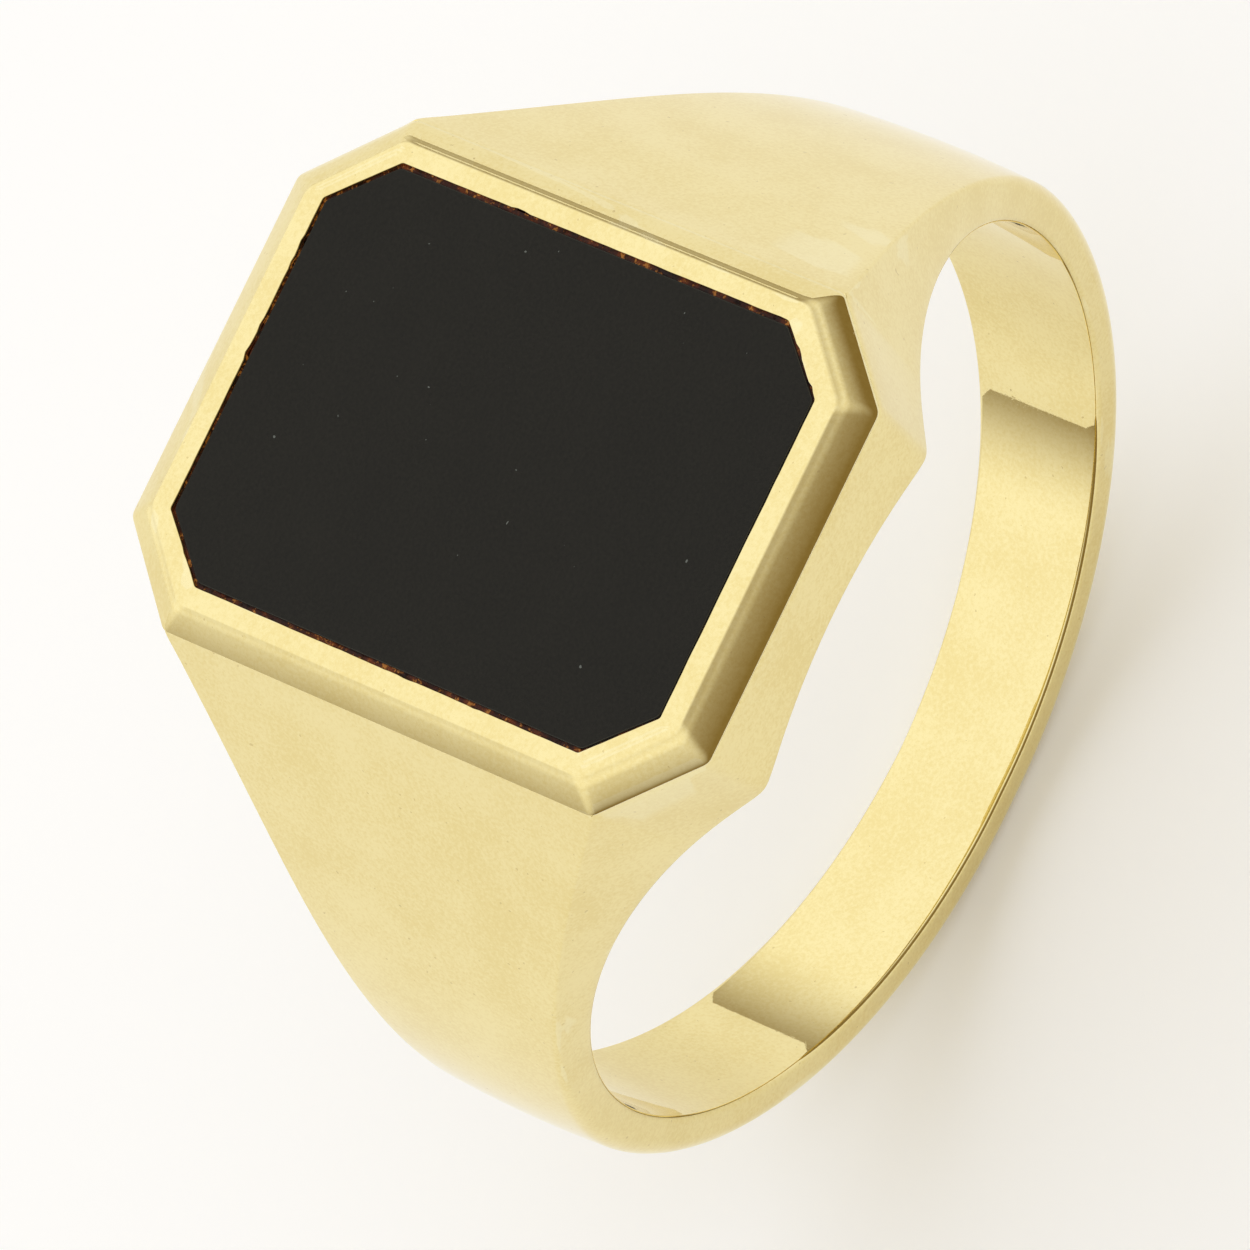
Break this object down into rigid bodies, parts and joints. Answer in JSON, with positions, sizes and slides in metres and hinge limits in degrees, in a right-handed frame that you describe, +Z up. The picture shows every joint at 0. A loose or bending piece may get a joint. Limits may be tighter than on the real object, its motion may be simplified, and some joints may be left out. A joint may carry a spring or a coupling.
{
  "type": "signet ring",
  "caption": "Polished yellow gold signet ring with a flat black onyx plate set flush in an octagonal bevelled head, tapering through broad flat shoulders to a narrow band.",
  "frame": {"origin": "lowest point of the band, under the middle of the ring as it stands on the back of the band with the head up; the finger hole's centre is 11.01 mm above it", "axes": "+Z up out of the head's flat face, Y along the finger, X across the finger from one shoulder to the other"},
  "size_m": [0.022, 0.0148, 0.0235],
  "materials": {
    "polished_gold": "mirror-polished 14 carat yellow gold with fine handling scratches",
    "gold_solder": "polished gold solder, flush with its neighbours",
    "onyx": "flat polished black onyx",
    "cement": "dark red-brown setting cement"
  },
  "bodies": {
    "root": {"shank": "polished_gold", "solder_seam": "gold_solder", "bezel_frame": "polished_gold", "bearing_ledge": "polished_gold", "cement_bed": "cement", "onyx_plate": "onyx"}
  },
  "joints": []
}
